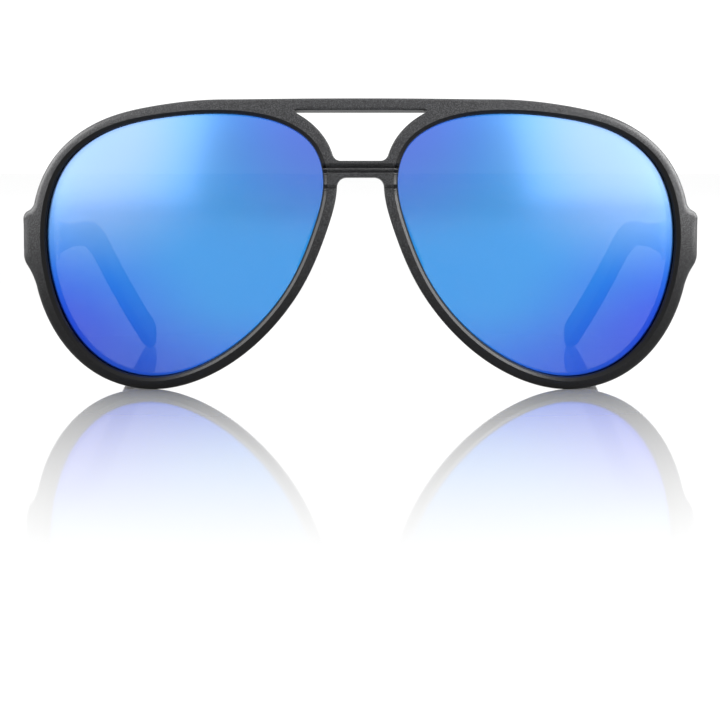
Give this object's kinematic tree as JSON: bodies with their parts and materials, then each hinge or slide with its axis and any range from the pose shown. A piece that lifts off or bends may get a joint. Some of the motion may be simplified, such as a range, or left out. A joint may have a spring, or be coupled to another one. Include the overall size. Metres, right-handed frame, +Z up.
{
  "type": "sunglasses",
  "caption": "Wrap-front double-bridge sunglasses with blue mirror lenses in a one-piece dark nylon front and folding temples that end in soft hooked sleeves.",
  "frame": {"origin": "centre of the footprint of the open glasses, on the surface they stand on: the two rims' lowest points and the two temple tips", "axes": "+X towards the wearer's left temple, +Y from the lenses back towards the ears, +Z up"},
  "size_m": [0.1494, 0.1608, 0.0635],
  "materials": {
    "moulded_nylon": "satin",
    "mirror_lens": "polished",
    "soft_rubber": "matte",
    "hinge_steel": "satin"
  },
  "bodies": {
    "front": {"front_frame": "moulded_nylon", "left_lens": "mirror_lens", "left_nose_pad": "soft_rubber", "left_front_hinge_leaf": "hinge_steel", "left_hinge_screw": "hinge_steel", "left_front_leaf_screw_upper": "hinge_steel", "left_front_leaf_screw_lower": "hinge_steel", "right_lens": "mirror_lens", "right_nose_pad": "soft_rubber", "right_front_hinge_leaf": "hinge_steel", "right_hinge_screw": "hinge_steel", "right_front_leaf_screw_upper": "hinge_steel", "right_front_leaf_screw_lower": "hinge_steel"},
    "left_temple": {"left_temple": "moulded_nylon", "left_temple_tip": "soft_rubber", "left_temple_hinge_leaf": "hinge_steel", "left_temple_leaf_screw_front": "hinge_steel", "left_temple_leaf_screw_rear": "hinge_steel"},
    "right_temple": {"right_temple": "moulded_nylon", "right_temple_tip": "soft_rubber", "right_temple_hinge_leaf": "hinge_steel", "right_temple_leaf_screw_front": "hinge_steel", "right_temple_leaf_screw_rear": "hinge_steel"}
  },
  "joints": [
    {"name": "left_temple_fold", "type": "hinge", "parent": "front", "child": "left_temple", "pos_m": [0.06905, -0.05285, 0.03186], "axis": [0, 0, 1], "range_deg": [0, 85]},
    {"name": "right_temple_fold", "type": "hinge", "parent": "front", "child": "right_temple", "pos_m": [-0.06905, -0.05285, 0.03186], "axis": [0, 0, -1], "range_deg": [0, 76]}
  ]
}
